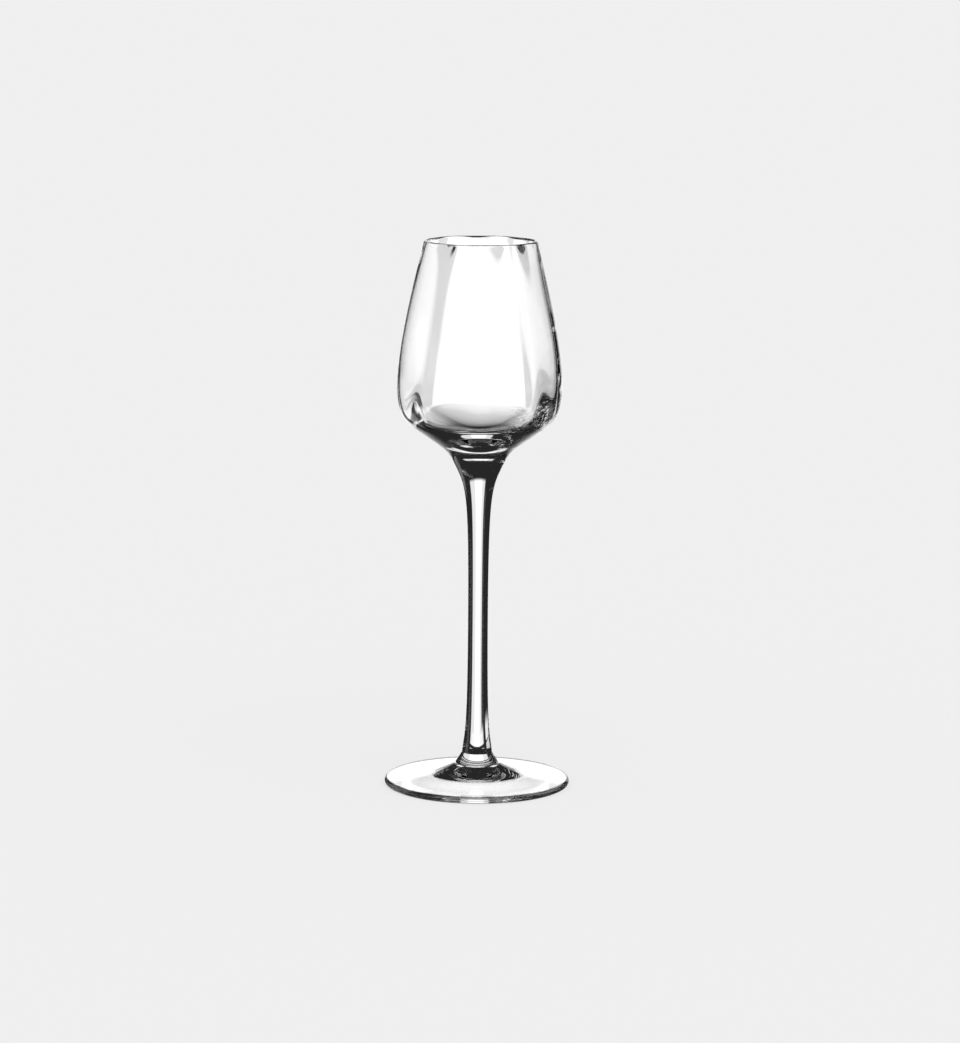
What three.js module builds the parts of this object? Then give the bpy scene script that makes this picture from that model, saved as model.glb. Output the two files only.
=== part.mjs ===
// A stemmed vodka glass of clear, mouth-blown glass.
// An optic-blown bowl stands on a drawn stem, which is joined to a disc foot by a small collar.
// Millimetres, +Z up. The origin is the centre of the flat ring that the glass stands on.

import * as THREE from 'three';

// Foot: a disc with a rounded edge, a hump in the middle and a hollow underneath
const FOOT_DIAMETER = 57.8;
const FOOT_EDGE = 1.95;
const FOOT_HEIGHT = 6.25;
const HUMP_TOP_DIAMETER = 14.4;
const STANDING_RING_WIDTH = 4.5;
const HOLLOW_DEPTH = 1.4;

// Collar: the ring of glass that seats on the hump and carries the stem
const COLLAR_HEIGHT = 3.75;
const COLLAR_DIAMETER = 13.4;
const COLLAR_EDGE_RADIUS = 0.6;

// Stem: slimmest below its middle, swelling to the collar and flaring to the bowl
const STEM_LENGTH = 92.75;
const STEM_END_DIAMETER = 9.4;
const STEM_DIAMETER = 6.22;
const SLIM_HEIGHT = 40;
const BOWL_JOINT_DIAMETER = 17;

// Outside of the bowl: heights are counted from its joint with the stem
const BOWL_HEIGHT = 67.25;
const RIM_DIAMETER = 35.2;
const BELLY_DIAMETER = 50.9;
const BELLY_HEIGHT = 22.25;
const CONE_DIAMETER = 38.4;
const CONE_HEIGHT = 8.75;

// Inside of the bowl: thin-walled down to its own belly, then a bend into a shallow cone over a heavy base
const RIM_WALL = 0.9;
const BELLY_WALL = 1.5;
const INSIDE_BELLY_HEIGHT = 27.9;
const BEND_DIAMETER = 35.2;
const BEND_HEIGHT = 11.56;
const BASE_THICKNESS = 6.48;

// Optic panels: the inside is a soft polygon, twisted a little as it was blown, while the outside stays round
const PANEL_COUNT = 6;
const PANEL_SWELL = 0.42;
const PANEL_TURN = -2;
const PANEL_TWIST = 11.6;

// Directions along the outlines, in degrees from straight up towards the outside
const UP = 0;
const OUTWARD = 90;
const DOWN = 180;
const INWARD = -90;
const RIM_LEAN = -13.3;
const CONE_LEAN = 54;
const BEND_LEAN = 67.7;
const BOWL_JOINT_LEAN = 31;
const STEM_FLARE_LEAN = 25;
const STEM_END_LEAN = -5.3;
const HUMP_LEAN = -61;

// How far each curve holds its direction at its start and its end, as shares of the distance between them
const HOLLOW_PULLS = [0.5, 0.4];
const HUMP_PULLS = [0.56, 0.21];
const STEM_SWELL_PULLS = [0.17, 0.9];
const STEM_FLARE_PULLS = [0.87, 0.2];
const NECK_PULLS = [0.25, 0.59];
const SHOULDER_PULLS = [0.39, 0.51];
const SIDE_PULLS = [0.28, 0.28];
const INSIDE_SIDE_PULLS = [0.28, 0.28];
const INSIDE_SHOULDER_PULLS = [0.4, 0.27];
const FLOOR_PULLS = [0.26, 0.23];

// How finely the round forms are divided
const WIDE_STEPS = 60;
const SLIM_STEPS = 40;
const CURVE_STEPS = 8;
const LONG_CURVE_STEPS = 12;
const FOOT_CURVE_STEPS = 6;
const SMALL_ROUND_STEPS = 2;

/** A unit vector in the plane of an outline: x is the radius and y the height. */
function heading(degrees) {
  const angle = THREE.MathUtils.degToRad(degrees);
  return new THREE.Vector2(Math.sin(angle), Math.cos(angle));
}

/** Continues an outline with a smooth curve that leaves and arrives in the given directions. */
function sweepTo(outline, end, leaving, arriving, [leavingPull, arrivingPull]) {
  const start = outline.currentPoint.clone();
  const distance = start.distanceTo(end);
  const first = start.addScaledVector(heading(leaving), leavingPull * distance);
  const last = end.clone().addScaledVector(heading(arriving), -arrivingPull * distance);
  outline.bezierCurveTo(first.x, first.y, last.x, last.y, end.x, end.y);
}

/** A clear glass piece at its height on the axis. A lathe turns about Y, so the piece is tipped up along Z. */
function glassPiece(name, geometry, height) {
  const glass = new THREE.MeshStandardMaterial({
    color: 0xf4f7f6,
    roughness: 0.02,
    metalness: 0,
    transparent: true,
    opacity: 0.35,
  });
  const piece = new THREE.Mesh(geometry.rotateX(Math.PI / 2), glass);
  piece.name = name;
  piece.position.z = height;
  return piece;
}

/** The foot: hollow underside, flat standing ring, rounded edge, then up the hump to the collar's seat. */
function footGeometry() {
  const edgeRadius = FOOT_EDGE / 2;
  const edgeCentre = FOOT_DIAMETER / 2 - edgeRadius;
  const ringInside = new THREE.Vector2(edgeCentre - STANDING_RING_WIDTH, 0);
  const humpTop = new THREE.Vector2(HUMP_TOP_DIAMETER / 2, FOOT_HEIGHT);
  const outline = new THREE.Path();
  outline.moveTo(0, HOLLOW_DEPTH);
  sweepTo(outline, ringInside, OUTWARD, OUTWARD, HOLLOW_PULLS);
  outline.lineTo(edgeCentre, 0);
  outline.absarc(edgeCentre, edgeRadius, edgeRadius, -Math.PI / 2, Math.PI / 2, false);
  sweepTo(outline, humpTop, INWARD, HUMP_LEAN, HUMP_PULLS);
  outline.lineTo(0, FOOT_HEIGHT);
  return new THREE.LatheGeometry(outline.getPoints(FOOT_CURVE_STEPS), WIDE_STEPS);
}

/** The collar: a flat seat, a rounded lower edge and a straight flank up to the end of the stem. */
function collarGeometry() {
  const seatRadius = COLLAR_DIAMETER / 2 - COLLAR_EDGE_RADIUS;
  const outline = new THREE.Path();
  outline.moveTo(0, 0);
  outline.lineTo(seatRadius, 0);
  outline.absarc(seatRadius, COLLAR_EDGE_RADIUS, COLLAR_EDGE_RADIUS, -Math.PI / 2, 0, false);
  outline.lineTo(STEM_END_DIAMETER / 2, COLLAR_HEIGHT);
  outline.lineTo(0, COLLAR_HEIGHT);
  return new THREE.LatheGeometry(outline.getPoints(SMALL_ROUND_STEPS), SLIM_STEPS);
}

/** The stem: drawn out slim, swelling at its lower end and flared where it meets the bowl. */
function stemGeometry() {
  const slimmest = new THREE.Vector2(STEM_DIAMETER / 2, SLIM_HEIGHT);
  const bowlJoint = new THREE.Vector2(BOWL_JOINT_DIAMETER / 2, STEM_LENGTH);
  const outline = new THREE.Path();
  outline.moveTo(0, 0);
  outline.lineTo(STEM_END_DIAMETER / 2, 0);
  sweepTo(outline, slimmest, STEM_END_LEAN, UP, STEM_SWELL_PULLS);
  sweepTo(outline, bowlJoint, UP, STEM_FLARE_LEAN, STEM_FLARE_PULLS);
  outline.lineTo(0, STEM_LENGTH);
  return new THREE.LatheGeometry(outline.getPoints(LONG_CURVE_STEPS), SLIM_STEPS);
}

/** The outside of the bowl, from the middle of its joint up to the start of the lip. */
function bowlOutside(lipHeight) {
  const cone = new THREE.Vector2(CONE_DIAMETER / 2, CONE_HEIGHT);
  const belly = new THREE.Vector2(BELLY_DIAMETER / 2, BELLY_HEIGHT);
  const rim = new THREE.Vector2(RIM_DIAMETER / 2, lipHeight);
  const outline = new THREE.Path();
  outline.moveTo(0, 0);
  outline.lineTo(BOWL_JOINT_DIAMETER / 2, 0);
  sweepTo(outline, cone, BOWL_JOINT_LEAN, CONE_LEAN, NECK_PULLS);
  sweepTo(outline, belly, CONE_LEAN, UP, SHOULDER_PULLS);
  sweepTo(outline, rim, UP, RIM_LEAN, SIDE_PULLS);
  return outline.getPoints(CURVE_STEPS);
}

/** The inside of the bowl, from the end of the lip down to the middle of its floor. */
function bowlInside(lipHeight) {
  const belly = new THREE.Vector2(BELLY_DIAMETER / 2 - BELLY_WALL, INSIDE_BELLY_HEIGHT);
  const bend = new THREE.Vector2(BEND_DIAMETER / 2, BEND_HEIGHT);
  const floor = new THREE.Vector2(0, BASE_THICKNESS);
  const outline = new THREE.Path();
  outline.moveTo(RIM_DIAMETER / 2 - RIM_WALL, lipHeight);
  sweepTo(outline, belly, DOWN + RIM_LEAN, DOWN, INSIDE_SIDE_PULLS);
  sweepTo(outline, bend, DOWN, DOWN + BEND_LEAN, INSIDE_SHOULDER_PULLS);
  sweepTo(outline, floor, DOWN + BEND_LEAN, INWARD, FLOOR_PULLS);
  return outline.getPoints(CURVE_STEPS);
}

/** The bowl: round outside, with the inside drawn in at the middle of each panel and out at its corners. */
function bowlGeometry() {
  const lipRadius = RIM_WALL / 2;
  const lipHeight = BOWL_HEIGHT - lipRadius;
  const lipCentre = RIM_DIAMETER / 2 - lipRadius;
  const lip = new THREE.Path().absarc(lipCentre, lipHeight, lipRadius, 0, Math.PI, false);
  const outside = bowlOutside(lipHeight);
  const overLip = lip.getPoints(SMALL_ROUND_STEPS).slice(1, -1);
  const points = [...outside, ...overLip, ...bowlInside(lipHeight)];
  const geometry = new THREE.LatheGeometry(points, WIDE_STEPS);

  const swellShare = PANEL_SWELL / (BELLY_DIAMETER / 2 - BELLY_WALL);
  const position = geometry.getAttribute('position');
  for (let index = 0; index < position.count; index++) {
    const pastOutside = index % points.length - outside.length + 1;
    const insideShare = THREE.MathUtils.clamp(pastOutside / (overLip.length + 1), 0, 1);
    const rise = position.getY(index) / BOWL_HEIGHT;
    const turn = THREE.MathUtils.degToRad(PANEL_TURN + PANEL_TWIST * rise);
    const angle = Math.atan2(position.getX(index), position.getZ(index)) - turn;
    const scale = 1 - swellShare * insideShare * Math.cos(PANEL_COUNT * angle);
    position.setX(index, position.getX(index) * scale);
    position.setZ(index, position.getZ(index) * scale);
  }
  return geometry;
}

// Each piece stands on the one below, flat face to flat face, as the hot glass was joined
const collarBase = FOOT_HEIGHT;
const stemBase = collarBase + COLLAR_HEIGHT;
const bowlBase = stemBase + STEM_LENGTH;
const vodkaGlass = new THREE.Group();
vodkaGlass.add(glassPiece('foot', footGeometry(), 0));
vodkaGlass.add(glassPiece('foot_collar', collarGeometry(), collarBase));
vodkaGlass.add(glassPiece('stem', stemGeometry(), stemBase));
vodkaGlass.add(glassPiece('bowl', bowlGeometry(), bowlBase));

export default vodkaGlass;
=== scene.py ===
# %% [markdown]
# # A stemmed vodka glass in clear, mouth-blown glass
# The glass is four gathers of hot glass, fused one to the next: a blown bowl, a drawn stem, a small
# collar and a spun foot. Each is turned here from its own outline, finely enough for light to bend
# through it cleanly. Lengths are in metres and angles in degrees, in the same frame as the solids that it
# dresses, so no piece needs fitting.

# %% Load the solids
import math

import bmesh
import bpy
from mathutils import Euler, Matrix, Vector
from mathutils.geometry import interpolate_bezier


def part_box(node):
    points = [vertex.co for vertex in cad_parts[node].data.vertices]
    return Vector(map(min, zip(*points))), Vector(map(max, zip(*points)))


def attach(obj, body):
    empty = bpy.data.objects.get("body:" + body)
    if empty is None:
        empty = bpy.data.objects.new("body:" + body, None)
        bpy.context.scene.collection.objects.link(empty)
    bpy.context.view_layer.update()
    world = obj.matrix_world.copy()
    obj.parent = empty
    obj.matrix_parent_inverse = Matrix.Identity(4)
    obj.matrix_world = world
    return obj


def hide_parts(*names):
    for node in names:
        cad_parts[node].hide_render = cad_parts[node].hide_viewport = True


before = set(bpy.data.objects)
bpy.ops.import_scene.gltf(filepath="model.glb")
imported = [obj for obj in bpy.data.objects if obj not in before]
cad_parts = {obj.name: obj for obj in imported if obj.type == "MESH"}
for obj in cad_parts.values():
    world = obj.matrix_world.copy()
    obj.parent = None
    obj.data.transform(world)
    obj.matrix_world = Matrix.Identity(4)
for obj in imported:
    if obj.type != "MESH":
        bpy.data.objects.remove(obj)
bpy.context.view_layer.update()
MM = 0.001
print("solids:", sorted(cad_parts))

# %% [markdown]
# The camera stands where the photographer stood: a little over a metre away, on a long lens, looking down
# on the glass from above its rim. The rim then shows as a thin ellipse and the foot as a rounder one. A
# long lens keeps the sides of the glass nearly parallel, as catalogue pictures do. A Track To constraint
# could aim the camera. A distance, a height and a tilt are used here, because they can be read off a real
# tripod.

# %% Camera
CAMERA_DISTANCE = 1123.7 * MM
CAMERA_HEIGHT = 268.9 * MM
CAMERA_SIDE = 0.4 * MM
CAMERA_TILT = 9.40
CAMERA_ROLL = 0.43
# The lens and the sensor are in millimetres, as camera makers give them
LENS = 126.96
SENSOR = 36.0
# A new camera looks straight down, and looks level once it is tipped up by this angle
LEVEL = 90

camera = bpy.data.objects.new("camera", bpy.data.cameras.new("camera"))
camera.data.lens = LENS
camera.data.sensor_width = SENSOR
stand = Matrix.Translation((CAMERA_SIDE, -CAMERA_DISTANCE, CAMERA_HEIGHT))
look = Euler((math.radians(LEVEL - CAMERA_TILT), 0, 0)).to_matrix().to_4x4()
roll = Matrix.Rotation(math.radians(CAMERA_ROLL), 4, "Z")
camera.matrix_world = stand @ look @ roll
bpy.context.scene.collection.objects.link(camera)
bpy.context.scene.camera = camera
bpy.context.scene.view_settings.view_transform = "Standard"
print("camera height, mm:", round(camera.matrix_world.translation.z / MM))

# %% [markdown]
# Two small helpers serve every material. One turns an sRGB hex colour, as a picture editor shows it, into
# the linear values that Blender reckons with. The other adds a node with its settings, its values and its
# links. Nodes could be joined by hand in the editor. A helper keeps each to a line or two, so a tree
# reads downwards.

# %% Colour and node helpers
SRGB_STRAIGHT_END = 0.04045
SRGB_STRAIGHT_SLOPE = 12.92
SRGB_OFFSET = 0.055
SRGB_POWER = 2.4
BRIGHTEST = 255
OPAQUE = 1.0


def linear(hex_colour):
    """An sRGB hex colour as linear red, green, blue and alpha."""
    colour = []
    for level in bytes.fromhex(hex_colour):
        share = level / BRIGHTEST
        if share <= SRGB_STRAIGHT_END:
            colour.append(share / SRGB_STRAIGHT_SLOPE)
        else:
            colour.append(((share + SRGB_OFFSET) / (1 + SRGB_OFFSET)) ** SRGB_POWER)
    return colour + [OPAQUE]


def add_node(tree, kind, values=None, links=None, **settings):
    """Adds a node, sets its options and socket values, and links other nodes' outputs to its sockets."""
    node = tree.nodes.new(kind)
    for name, value in settings.items():
        setattr(node, name, value)
    for socket, value in (values or {}).items():
        node.inputs[socket].default_value = value
    for socket, source in (links or {}).items():
        tree.links.new(source, node.inputs[socket])
    return node


BACKDROP_COLOUR = linear("F1F1F1")
WHITE = linear("FFFFFF")
print("backdrop, linear:", BACKDROP_COLOUR)

# %% [markdown]
# Clear glass has no colour of its own: it shows what stands around it. So the surround is the most
# important light. As in a glass photographer's studio, a white card stands behind the glass, with a strip
# of pale wall beside it, and black cards close it in from the sides. Light that goes nearly straight
# through finds the white card. Light that a panel turns a little aside finds the pale wall, which draws
# the grey streaks, and light that a curved edge turns far aside finds black, which draws the dark lines.
# White sheets on the table, at the left and behind the camera keep the glass clear when it is seen from
# other sides. The cards could be lit planes. Patches of the world are used, because they stay the same
# from every place in the glass. Each is given by the compass direction of its middle, its half width and
# the heights between which it stands, all in degrees. Every edge is a pair: where the card is gone and
# where it is whole.

# %% The surround of cards
DARK_LEVEL = 0.02
CARDS = {
    "backdrop": {"middle": 1, "sides": (14.7, 7), "bottom": (-32, -22), "top": (19, 13), "level": 1.22},
    "pale wall": {"middle": 4, "sides": (20.5, 17.4), "bottom": (-32, -22), "top": (19, 13), "level": 0.86},
    "table sheet": {"middle": 0, "sides": (25, 17), "bottom": (-46, -13), "top": (-16, -21), "level": 1.22},
    "left window": {"middle": -90, "sides": (16, 10), "bottom": (-13, -9), "top": (10, 6), "level": 1.0},
    "left sheet": {"middle": -47, "sides": (16, 12), "bottom": (-44, -34), "top": (-15, -19), "level": 0.95},
    "rear sheet": {"middle": 135, "sides": (22, 16), "bottom": (-35, -27), "top": (-3, -6), "level": 1.0},
}
print("cards around the glass:", ", ".join(CARDS))

# %% [markdown]
# A world shader is asked for one direction at a time. Its compass angle and its height, both worked out
# from the direction, tell how far inside each edge of a card it lies. The soft edges multiply to the
# card's shape, and where cards overlap the lightest one shows. A painted surround picture could do the
# same. Nodes are used, because a card can then be moved by changing one number.

# %% The cards as a world
def combine(tree, operation, sources):
    """Joins several values two by two, to multiply them or to take the largest."""
    result = sources[0]
    for source in sources[1:]:
        joined = add_node(tree, "ShaderNodeMath", links={0: result, 1: source}, operation=operation)
        result = joined.outputs[0]
    return result


world = bpy.data.worlds.new("studio_surround")
bpy.context.scene.world = world
world.use_nodes = True
tree = world.node_tree
tree.nodes.clear()
direction = add_node(tree, "ShaderNodeTexCoord").outputs["Generated"]
along = add_node(tree, "ShaderNodeSeparateXYZ", links={"Vector": direction}).outputs
compass = add_node(tree, "ShaderNodeMath", links={0: along["X"], 1: along["Y"]}, operation="ARCTAN2")
height = add_node(tree, "ShaderNodeMath", links={0: along["Z"]}, operation="ARCSINE")
patches = []
for card in CARDS.values():
    turned = add_node(tree, "ShaderNodeMath", {1: math.radians(card["middle"])}, {0: compass.outputs[0]},
                      operation="SUBTRACT")
    around = add_node(tree, "ShaderNodeMath", {1: math.pi, 2: -math.pi}, {0: turned.outputs[0]},
                      operation="WRAP")
    aside = add_node(tree, "ShaderNodeMath", links={0: around.outputs[0]}, operation="ABSOLUTE")
    edges = []
    for source, edge in ((aside, "sides"), (height, "bottom"), (height, "top")):
        gone, whole = [math.radians(angle) for angle in card[edge]]
        soft_edge = add_node(tree, "ShaderNodeMapRange", {"From Min": gone, "From Max": whole},
                             {"Value": source.outputs[0]}, interpolation_type="SMOOTHSTEP")
        edges.append(soft_edge.outputs[0])
    shape = combine(tree, "MULTIPLY", edges)
    patch = add_node(tree, "ShaderNodeMath", {1: card["level"]}, {0: shape}, operation="MULTIPLY")
    patches.append(patch.outputs[0])
lightest = combine(tree, "MAXIMUM", patches)
brightness = add_node(tree, "ShaderNodeMath", {1: DARK_LEVEL}, {0: lightest}, operation="MAXIMUM")
print("patches of the world:", len(patches))

# %% [markdown]
# Only light that has met the glass finds the cards. The camera itself sees the plain pale backdrop, and
# the floor is lit by an even soft light, as under a big white ceiling. A compositor could swap the
# background afterwards. The Light Path node is used, because it tells the three kinds of ray apart while
# they are traced.

# %% What each kind of ray sees
AMBIENT_LEVEL = 0.55

rays = add_node(tree, "ShaderNodeLightPath").outputs
seen_in_glass = combine(tree, "MAXIMUM", [rays["Is Glossy Ray"], rays["Is Transmission Ray"]])
cards = add_node(tree, "ShaderNodeBackground", {"Color": WHITE}, {"Strength": brightness.outputs[0]})
soft_light = add_node(tree, "ShaderNodeBackground", {"Color": WHITE, "Strength": AMBIENT_LEVEL})
backdrop = add_node(tree, "ShaderNodeBackground", {"Color": BACKDROP_COLOUR})
room = add_node(tree, "ShaderNodeMixShader",
                links={0: seen_in_glass, 1: soft_light.outputs[0], 2: cards.outputs[0]})
shown = add_node(tree, "ShaderNodeMixShader",
                 links={0: rays["Is Camera Ray"], 1: room.outputs[0], 2: backdrop.outputs[0]})
add_node(tree, "ShaderNodeOutputWorld", links={"Surface": shown.outputs[0]})
print("world nodes:", len(tree.nodes))

# %% [markdown]
# The floor is a wide sheet of pale paper. A shadow catcher could stand in for it, but it needs a second
# picture to be laid over. Here most of what the camera sees of the paper is its own even colour, so it
# runs into the backdrop with no line. The rest is lit, and that share keeps the shadow of the glass.

# %% Paper floor
FLOOR_SIZE = 40.0
SHADOW_SHARE = 0.3


def new_material(name):
    """A material with an empty node tree."""
    material = bpy.data.materials.new(name)
    material.use_nodes = True
    material.node_tree.nodes.clear()
    return material


# Pale matt paper: even to the eye, with just enough of the lamp's light for a shadow to show
paper = new_material("pale_paper_sheet")
tree = paper.node_tree
even = add_node(tree, "ShaderNodeEmission", {"Color": BACKDROP_COLOUR})
lit = add_node(tree, "ShaderNodeBsdfDiffuse", {"Color": BACKDROP_COLOUR})
both = add_node(tree, "ShaderNodeMixShader", {0: SHADOW_SHARE}, {1: even.outputs[0], 2: lit.outputs[0]})
add_node(tree, "ShaderNodeOutputMaterial", links={"Surface": both.outputs[0]})

reach = FLOOR_SIZE / 2
corners = [(-reach, -reach, 0), (reach, -reach, 0), (reach, reach, 0), (-reach, reach, 0)]
floor_mesh = bpy.data.meshes.new("floor")
floor_mesh.from_pydata(corners, [], [range(len(corners))])
floor_mesh.materials.append(paper)
floor = bpy.data.objects.new("floor", floor_mesh)
bpy.context.scene.collection.objects.link(floor)
print("floor width, m:", FLOOR_SIZE)

# %% [markdown]
# One soft lamp from above, a little to the side, lays a faint shadow under the glass. An area lamp could
# do it. A sun with a wide disc is used, because its light is the same all over the floor. Glass shows
# neither the lamp nor the floor, but the cards in their place.

# %% Lamp
LAMP_STRENGTH = 1.4
LAMP_SPREAD = 50
LAMP_LEAN = (25, 10, 0)

lamp = bpy.data.objects.new("soft_lamp", bpy.data.lights.new("soft_lamp", "SUN"))
lamp.data.energy = LAMP_STRENGTH
lamp.data.angle = math.radians(LAMP_SPREAD)
lamp.rotation_euler = [math.radians(angle) for angle in LAMP_LEAN]
bpy.context.scene.collection.objects.link(lamp)
for thing in (floor, lamp):
    thing.visible_glossy = False
    thing.visible_transmission = False
print("lamp spread, degrees:", LAMP_SPREAD)

# %% [markdown]
# The whole object is soda-lime glass, worked hot and fire-polished. It is colourless, bends light with an
# index of about 1.5 and is smooth as water, but each way of working it leaves faint marks. Each mark is a
# noise with a real size and depth, stretched the way that the glass was worked, and it may be held within
# a part of the piece. Such marks could be modelled, but they would need millions of points, so they are
# bumps. The Principled shader with full transmission is used in place of the Glass shader, because other
# programs know it too.

# %% Worked glass
GLASS_INDEX = 1.5
FIRE_POLISHED = 0.0
FULL = 1.0
# The mapping sets the size of a mark, so the noise keeps a plain scale
PLAIN_SCALE = 1.0
MARK_DETAIL = 1.0
PALE_SHADOW = linear("E8E8E8")


def marked_surface(tree, marks):
    """Lays the marks of the making one over the other. Gives the link to the surface that they leave."""
    place = add_node(tree, "ShaderNodeTexCoord").outputs["Object"]
    along = add_node(tree, "ShaderNodeSeparateXYZ", links={"Vector": place}).outputs
    surface = {}
    for mark in marks:
        scale = [1 / size for size in mark["size"]]
        stretched = add_node(tree, "ShaderNodeMapping", {"Scale": scale}, {"Vector": place})
        noise = add_node(tree, "ShaderNodeTexNoise", {"Scale": PLAIN_SCALE, "Detail": MARK_DETAIL},
                         {"Vector": stretched.outputs[0]})
        fades = []
        for axis, (gone, whole) in mark.get("within", {}).items():
            fade = add_node(tree, "ShaderNodeMapRange", {"From Min": gone, "From Max": whole},
                            {"Value": along[axis]}, interpolation_type="SMOOTHSTEP")
            fades.append(fade.outputs[0])
        strength = {"Strength": combine(tree, "MULTIPLY", fades)} if fades else {}
        bump = add_node(tree, "ShaderNodeBump", {"Strength": FULL, "Distance": mark["depth"]},
                        {"Height": noise.outputs["Fac"], **strength, **surface})
        surface = {"Normal": bump.outputs[0]}
    return surface


def worked_glass(name, *marks):
    """Clear glass with the marks of its making. A lamp's light passes it with a pale shadow."""
    material = new_material(name)
    tree = material.node_tree
    look = {"Base Color": WHITE, "Roughness": FIRE_POLISHED, "IOR": GLASS_INDEX, "Transmission Weight": FULL}
    glass = add_node(tree, "ShaderNodeBsdfPrincipled", look, marked_surface(tree, marks))
    clear = add_node(tree, "ShaderNodeBsdfTransparent", {"Color": PALE_SHADOW})
    is_shadow = add_node(tree, "ShaderNodeLightPath").outputs["Is Shadow Ray"]
    shown = add_node(tree, "ShaderNodeMixShader",
                     links={0: is_shadow, 1: glass.outputs[0], 2: clear.outputs[0]})
    add_node(tree, "ShaderNodeOutputMaterial", links={"Surface": shown.outputs[0]})
    return material


print("glass index", GLASS_INDEX)

# %% [markdown]
# Where two gathers were joined hot, they became one body and no surface is left between them. The faces
# there could be taken out, but then the pieces would not be closed. They stay, and light passes straight
# through.

# %% Fused joint
# Fused soda-lime glass: nothing to see
joint_glass = new_material("fused_soda_lime_glass")
tree = joint_glass.node_tree
clear = add_node(tree, "ShaderNodeBsdfTransparent", {"Color": WHITE})
add_node(tree, "ShaderNodeOutputMaterial", links={"Surface": clear.outputs[0]})
print("joint nodes:", len(tree.nodes))

# %% [markdown]
# Every piece is turned, so it starts as half an outline: radius across, height up. A curve object could
# hold it. Plain lists of points are used, because a piece can then put curves, arcs and straight lines
# end to end. A curve between two points leaves in one direction and arrives in another, both in degrees
# from straight up. Its two pulls say how far it holds each direction, as shares of the distance between
# the points.

# %% Outline helpers
UP, OUTWARD, DOWN, INWARD = 0, 90, 180, -90
# The quarter points of a round, in degrees from its outer point upwards
LOWEST, OUTERMOST, HIGHEST, INNERMOST = -90, 0, 90, 180
CURVE_STEPS = 40
ROUND_STEPS = 24


def heading(degrees):
    """A unit vector in the plane of an outline."""
    angle = math.radians(degrees)
    return Vector((math.sin(angle), math.cos(angle)))


def sweep(start, end, leaving, arriving, pulls):
    """The points after start of a smooth curve to end."""
    start = Vector(start)
    end = Vector(end)
    distance = (end - start).length
    leaving_pull, arriving_pull = pulls
    first = start + heading(leaving) * leaving_pull * distance
    last = end - heading(arriving) * arriving_pull * distance
    curve = interpolate_bezier(start, first, last, end, CURVE_STEPS)
    return [Vector(point[:2]) for point in curve[1:]]


def arc(centre, radius, start, end):
    """The points after its start of a round stretch between two of its quarter points."""
    points = []
    for step in range(1, ROUND_STEPS + 1):
        angle = math.radians(start + (end - start) * step / ROUND_STEPS)
        points.append(Vector((centre[0] + radius * math.cos(angle), centre[1] + radius * math.sin(angle))))
    return points


print("curve of", CURVE_STEPS, "steps, round of", ROUND_STEPS)

# %% [markdown]
# Blender spins the outline round the axis and merges the points that meet there, which gives one closed
# skin. A Screw modifier would turn it too. The spin is used, because each point can carry its place in
# the outline along, which tells the inside of the bowl from its outside later.

# %% Spinning an outline
TURN_STEPS = 216
MIDDLE = (0, 0, 0)
AXIS = (0, 0, 1)


def spun_skin(outline):
    """Spins an outline. Gives the skin and the layer that holds each point's place in the outline."""
    skin = bmesh.new()
    place = skin.verts.layers.int.new("outline_place")
    points = [skin.verts.new((point.x, 0, point.y)) for point in outline]
    for index, point in enumerate(points):
        point[place] = index
    edges = [skin.edges.new(pair) for pair in zip(points, points[1:])]
    bmesh.ops.spin(skin, geom=points + edges, cent=MIDDLE, axis=AXIS, angle=math.tau, steps=TURN_STEPS,
                   use_merge=True)
    return skin, place


print("turned in", TURN_STEPS, "steps")

# %% [markdown]
# A piece of glass is such a skin, smooth apart from its creases, with the fused joint on its flat joint
# faces. The material could be given by hand in edit mode. The height of a joint finds its faces here, so
# they are found again when a size changes. The piece then takes the place of its solid.

# %% A turned piece of glass
CREASE_ANGLE = 24
TOUCHING = 0.0001 * MM
FLAT = 0.999


def mark_joints(skin, joint_heights):
    """Makes every face smooth, and gives the flat faces at the joints the second material."""
    for face in skin.faces:
        face.smooth = True
        at_joint = any(abs(face.calc_center_median().z - height) < TOUCHING for height in joint_heights)
        face.material_index = int(at_joint and abs(face.normal.z) > FLAT)


def turned_piece(name, outline, glass, joint_heights, reshape=None):
    """A closed piece from its outline. Reshape moves a point, given its place in the outline."""
    skin, place = spun_skin(outline)
    if reshape:
        for vert in skin.verts:
            reshape(vert, vert[place])
    bmesh.ops.remove_doubles(skin, verts=skin.verts, dist=TOUCHING)
    bmesh.ops.recalc_face_normals(skin, faces=skin.faces)
    mark_joints(skin, joint_heights)
    skin.verts.layers.int.remove(place)
    mesh = bpy.data.meshes.new(name)
    skin.to_mesh(mesh)
    skin.free()
    mesh.set_sharp_from_angle(angle=math.radians(CREASE_ANGLE))
    mesh.materials.append(glass)
    mesh.materials.append(joint_glass)
    piece = bpy.data.objects.new(name, mesh)
    bpy.context.scene.collection.objects.link(piece)
    print(name, "has", len(mesh.vertices), "points")
    return piece


def dress(piece, node):
    """Sets a piece in the place of its solid."""
    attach(piece, "root")
    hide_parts(node)


print("crease angle", CREASE_ANGLE)

# %% [markdown]
# The foot is a gather pressed flat and spun into a disc. Its edge is rounded by the fire. It rises to a
# hump in the middle, and underneath it is slightly hollow, so that the glass stands on a flat ring near
# the edge. A flattened cylinder could be bevelled to this form. One outline is used, because the hollow
# and the hump are long soft curves, and they decide where the dark zone round the collar lies.

# %% Foot
FOOT_EDGE = 1.95 * MM
HUMP_TOP_DIAMETER = 14.4 * MM
STANDING_RING_WIDTH = 4.5 * MM
HOLLOW_DEPTH = 2.6 * MM
HUMP_LEAN = -61
HOLLOW_PULLS = (0.5, 0.25)
HUMP_PULLS = (0.56, 0.21)
SPUN_WAVES = {"size": (12 * MM, 12 * MM, 12 * MM), "depth": 0.03 * MM}

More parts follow.
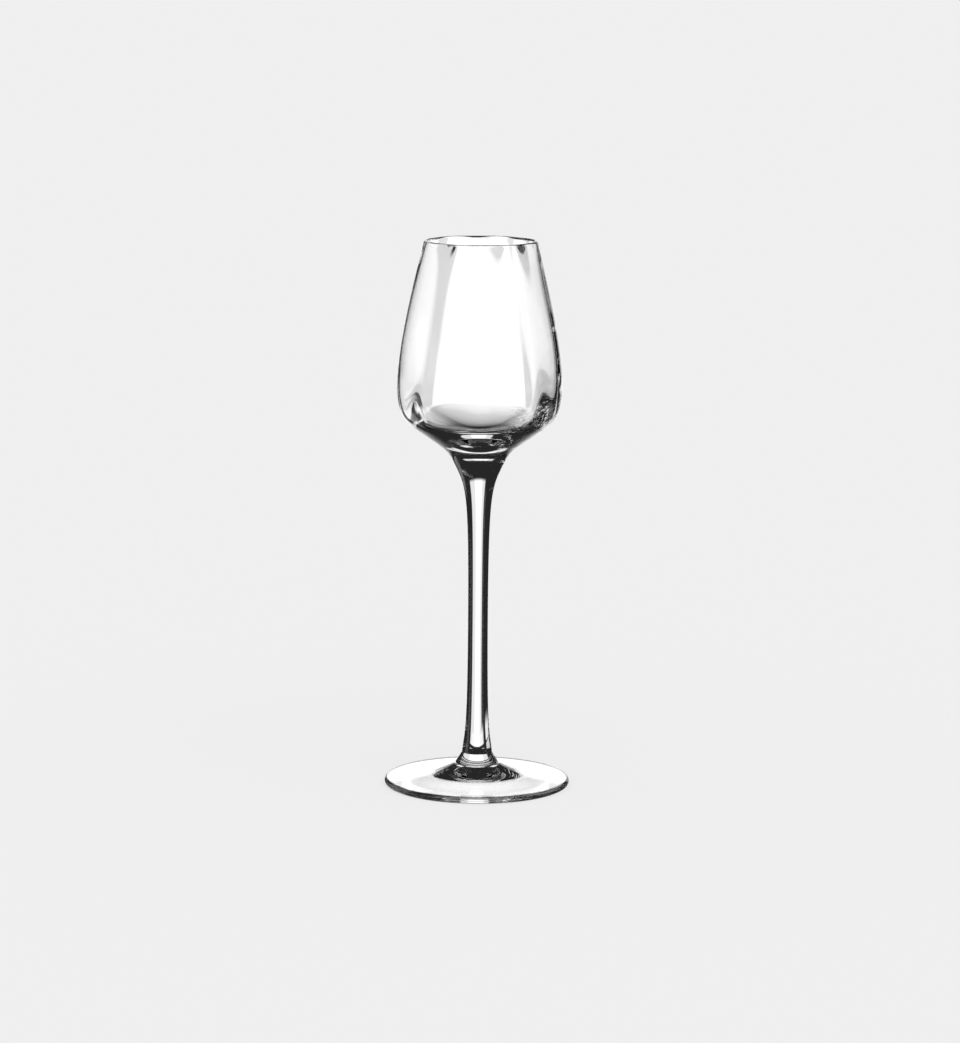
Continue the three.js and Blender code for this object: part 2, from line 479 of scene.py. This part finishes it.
foot_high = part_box("foot")[1]
edge_radius = FOOT_EDGE / 2
edge_centre = foot_high.x - edge_radius
ring_inside = (edge_centre - STANDING_RING_WIDTH, 0)
hump_top = (HUMP_TOP_DIAMETER / 2, foot_high.z)
foot_outline = [Vector((0, HOLLOW_DEPTH))]
foot_outline += sweep(foot_outline[-1], ring_inside, OUTWARD, OUTWARD, HOLLOW_PULLS)
foot_outline += [Vector((edge_centre, 0))]
foot_outline += arc((edge_centre, edge_radius), edge_radius, LOWEST, HIGHEST)
foot_outline += sweep(foot_outline[-1], hump_top, INWARD, HUMP_LEAN, HUMP_PULLS)
foot_outline += [Vector((0, foot_high.z))]

# Spun soda-lime glass: broad faint waves, which make the light and dark in the disc swim a little
foot_glass = worked_glass("spun_soda_lime_glass", SPUN_WAVES)
foot = turned_piece("foot_glass", foot_outline, foot_glass, [foot_high.z])
dress(foot, "foot")

# %% [markdown]
# The collar is a small ring of glass that the maker sets between foot and stem: a flat seat, a rounded
# lower edge and a straight flank, smoothed with a wooden tool. A cone with a bevel would come close. The
# outline is used again, because its top then fits the end of the stem exactly.

# %% Collar
COLLAR_EDGE_RADIUS = 0.6 * MM
STEM_END_DIAMETER = 9.4 * MM
TOOLED_BANDS = {"size": (14 * MM, 14 * MM, 1.4 * MM), "depth": 0.01 * MM}

collar_low, collar_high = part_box("foot_collar")
seat_radius = collar_high.x - COLLAR_EDGE_RADIUS
edge_middle = (seat_radius, collar_low.z + COLLAR_EDGE_RADIUS)
collar_outline = [Vector((0, collar_low.z)), Vector((seat_radius, collar_low.z))]
collar_outline += arc(edge_middle, COLLAR_EDGE_RADIUS, LOWEST, OUTERMOST)
collar_outline += [Vector((STEM_END_DIAMETER / 2, collar_high.z)), Vector((0, collar_high.z))]

# Tooled soda-lime glass: fine level bands, which break the light in the ring into stripes
collar_glass = worked_glass("tooled_soda_lime_glass", TOOLED_BANDS)
collar = turned_piece("collar_glass", collar_outline, collar_glass, [collar_low.z, collar_high.z])
dress(collar, "foot_collar")

# %% [markdown]
# The stem was drawn out of its gather while soft. It is slimmest below its middle, swells to the collar
# and flares to the bowl. Seen from the front it works as a rod lens: a bright line between two dark ones.
# A cylinder with a taper would lose the long swell. Two curves that meet upright at the slimmest place
# keep it.

# %% Stem
STEM_DIAMETER = 6.22 * MM
SLIM_HEIGHT = 40 * MM
STEM_END_LEAN = -5.3
STEM_FLARE_LEAN = 25
STEM_SWELL_PULLS = (0.17, 0.9)
STEM_FLARE_PULLS = (0.87, 0.2)
DRAWN_CORDS = {"size": (1.6 * MM, 1.6 * MM, 60 * MM), "depth": 0.006 * MM}

stem_low, stem_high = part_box("stem")
slimmest = (STEM_DIAMETER / 2, stem_low.z + SLIM_HEIGHT)
stem_top = (stem_high.x, stem_high.z)
stem_outline = [Vector((0, stem_low.z)), Vector((STEM_END_DIAMETER / 2, stem_low.z))]
stem_outline += sweep(stem_outline[-1], slimmest, STEM_END_LEAN, UP, STEM_SWELL_PULLS)
stem_outline += sweep(slimmest, stem_top, UP, STEM_FLARE_LEAN, STEM_FLARE_PULLS)
stem_outline += [Vector((0, stem_high.z))]

# Drawn soda-lime glass: fine cords along its length, which make the bright line of the stem a little uneven
stem_glass = worked_glass("drawn_soda_lime_glass", DRAWN_CORDS)
stem = turned_piece("stem_glass", stem_outline, stem_glass, [stem_low.z, stem_high.z])
dress(stem, "stem")

# %% [markdown]
# The bowl's outside was shaped in a round mould, so it is a plain turned form: a steep cone above the
# joint, a belly and a long taper to the rim. It could be one curve with many points. Three curves that
# meet in the same direction are used, because each then follows one clear part of the glass.

# %% Outside of the bowl
RIM_DIAMETER = 35.2 * MM
RIM_WALL = 1.2 * MM
BELLY_HEIGHT = 22.25 * MM
CONE_DIAMETER = 38.4 * MM
CONE_HEIGHT = 8.75 * MM
BOWL_JOINT_LEAN = 31
CONE_LEAN = 54
RIM_LEAN = -13.3
NECK_PULLS = (0.25, 0.59)
SHOULDER_PULLS = (0.39, 0.51)
SIDE_PULLS = (0.28, 0.28)

bowl_low, bowl_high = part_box("bowl")
lip_radius = RIM_WALL / 2
lip_height = bowl_high.z - lip_radius
cone = Vector((CONE_DIAMETER / 2, bowl_low.z + CONE_HEIGHT))
belly = Vector((bowl_high.x, bowl_low.z + BELLY_HEIGHT))
outside = [Vector((0, bowl_low.z)), Vector((stem_high.x, bowl_low.z))]
outside += sweep(outside[-1], cone, BOWL_JOINT_LEAN, CONE_LEAN, NECK_PULLS)
outside += sweep(cone, belly, CONE_LEAN, UP, SHOULDER_PULLS)
outside += sweep(belly, (RIM_DIAMETER / 2, lip_height), UP, RIM_LEAN, SIDE_PULLS)
print("outside of", len(outside), "points")

# %% [markdown]
# The lip was rounded by the fire. The inside follows the outside with a thin wall down to the shoulder,
# then bends into a shallow cone over a heavy base. That base bends light so far that it shows dark. A
# Solidify modifier could give the wall, but only with one thickness, so the inside has curves of its own.

# %% Lip and inside of the bowl
BELLY_WALL = 1.7 * MM
INSIDE_BELLY_HEIGHT = 27.9 * MM
BEND_DIAMETER = 35.2 * MM
BEND_HEIGHT = 11.25 * MM
BASE_THICKNESS = 6.2 * MM
BEND_LEAN = 67.7
INSIDE_SIDE_PULLS = (0.28, 0.24)
INSIDE_SHOULDER_PULLS = (0.40, 0.33)
FLOOR_PULLS = (0.32, 0.23)

lip = arc((RIM_DIAMETER / 2 - lip_radius, lip_height), lip_radius, OUTERMOST, INNERMOST)
inside_belly = Vector((bowl_high.x - BELLY_WALL, bowl_low.z + INSIDE_BELLY_HEIGHT))
bend = Vector((BEND_DIAMETER / 2, bowl_low.z + BEND_HEIGHT))
base_top = (0, bowl_low.z + BASE_THICKNESS)
inside = sweep(lip[-1], inside_belly, DOWN + RIM_LEAN, DOWN, INSIDE_SIDE_PULLS)
inside += sweep(inside_belly, bend, DOWN, DOWN + BEND_LEAN, INSIDE_SHOULDER_PULLS)
inside += sweep(bend, base_top, DOWN + BEND_LEAN, INWARD, FLOOR_PULLS)
print("lip and inside of", len(lip) + len(inside), "points")

# %% [markdown]
# Before that, the bubble was blown into a ribbed optic mould. Blown on in the round mould, the ribs ended
# up inside: a soft polygon whose panels are thick in the middle and thin at the corners, twisted a little
# on the way. Each corner shows as a soft grey streak down the glass. Hand work is uneven: the panels are
# narrower at the front and the back, but wider there near the base. They are faint at the two sides and
# deeper at the rim and the base. The panels could be sculpted. A wave round the axis is used, because
# each of these things is then a number or two.

# %% Optic panels
PANEL_COUNT = 6
PANEL_SWELL = 0.39 * MM
PANEL_TURN = -3.4
PANEL_TWIST = 9.5
SIDE_FADING = 0.95
FADING_SHARPNESS = 8
RIM_DEEPENING = 2.0
RIM_SHARPNESS = 16
BASE_DEEPENING = 1.5
BASE_SHARPNESS = 4
FRONT_CROWDING = 6.7
BASE_SPREAD = 45


def panel_swell(around, rise):
    """How far the panels draw the inside in, at an angle from the front and a share of the bowl's height."""
    near_rim = rise ** RIM_SHARPNESS
    near_base = (1 - rise) ** BASE_SHARPNESS
    turn = PANEL_TURN + PANEL_TWIST * rise
    crowding = (FRONT_CROWDING - BASE_SPREAD * near_base) * math.sin(2 * around)
    fading = 1 - SIDE_FADING * math.sin(around) ** FADING_SHARPNESS
    deepening = 1 + RIM_DEEPENING * near_rim + BASE_DEEPENING * near_base
    wave = math.cos(PANEL_COUNT * (around + math.radians(crowding - turn)))
    return PANEL_SWELL * fading * deepening * wave


print("optic panels:", PANEL_COUNT)

# %% [markdown]
# The bubble was also a little oval and off the axis, so the wall is thicker on the right and thinner at
# the front. That makes the edge of the glass a dark line on the right and only a fine one on the left.
# The inside could be moved as a piece of its own. It is drawn in point by point with the panels, because
# the wall can then even out at the rim, and the lip can pass from the round outside to the uneven inside.

# %% Uneven wall
THICKER_RIGHT = 0.45 * MM
THICKER_FRONT = -0.3 * MM
THICKER_OVAL = -0.4 * MM


def extra_wall(around, rise):
    """How much thicker the uneven wall is there. It is even at the rim."""
    off_axis = THICKER_RIGHT * math.sin(around) + THICKER_FRONT * math.cos(around)
    oval = THICKER_OVAL * math.sin(2 * around)
    return (off_axis + oval) * (1 - rise ** RIM_SHARPNESS)


def press_inside(vert, place):
    """Draws a point of the inside in by the panels and the extra wall, and a point of the lip by a share."""
    inside_share = min(max((place - len(outside) + 1) / len(lip), 0), 1)
    rise = (vert.co.z - bowl_low.z) / (bowl_high.z - bowl_low.z)
    around = math.atan2(vert.co.x, -vert.co.y)
    inwards = panel_swell(around, rise) + extra_wall(around, rise)
    scale = 1 - inside_share * inwards / inside_belly.x
    vert.co.x *= scale
    vert.co.y *= scale


print("wall at the belly, mm:", round(BELLY_WALL / MM, 1))

# %% [markdown]
# Now the bowl can be turned and pressed. Its glass has broad waves all over. Where the heavy base
# chilled, on the right, it also has fine ripples about a tenth of a millimetre deep, which make the dark
# there glitter. They are as coarse as they need to be to show at this size. A second material could hold
# them. They fade in within this one, because no edge shows then.

# %% Bowl
BLOWN_WAVES = {"size": (14 * MM, 14 * MM, 20 * MM), "depth": 0.04 * MM}
CHILL_RIPPLES = {
    "size": (1.4 * MM, 1.4 * MM, 1.4 * MM),
    "depth": 0.12 * MM,
    "within": {"X": (4 * MM, 14 * MM), "Z": (120 * MM, 112 * MM)},
}

# Optic-blown soda-lime glass: soft wandering streaks, and a glitter in the base
bowl_glass = worked_glass("optic_blown_soda_lime_glass", BLOWN_WAVES, CHILL_RIPPLES)
bowl = turned_piece("bowl_glass", outside + lip + inside, bowl_glass, [bowl_low.z], press_inside)
dress(bowl, "bowl")

# %% [markdown]
# Light crosses many surfaces on its way through a glass, so it is given enough bounces to come out again.
# With too few, the thick parts would turn black.

# %% Light paths
BOUNCES = 32

cycles = bpy.context.scene.cycles
cycles.max_bounces = BOUNCES
cycles.transmission_bounces = BOUNCES
cycles.glossy_bounces = BOUNCES
cycles.transparent_max_bounces = BOUNCES
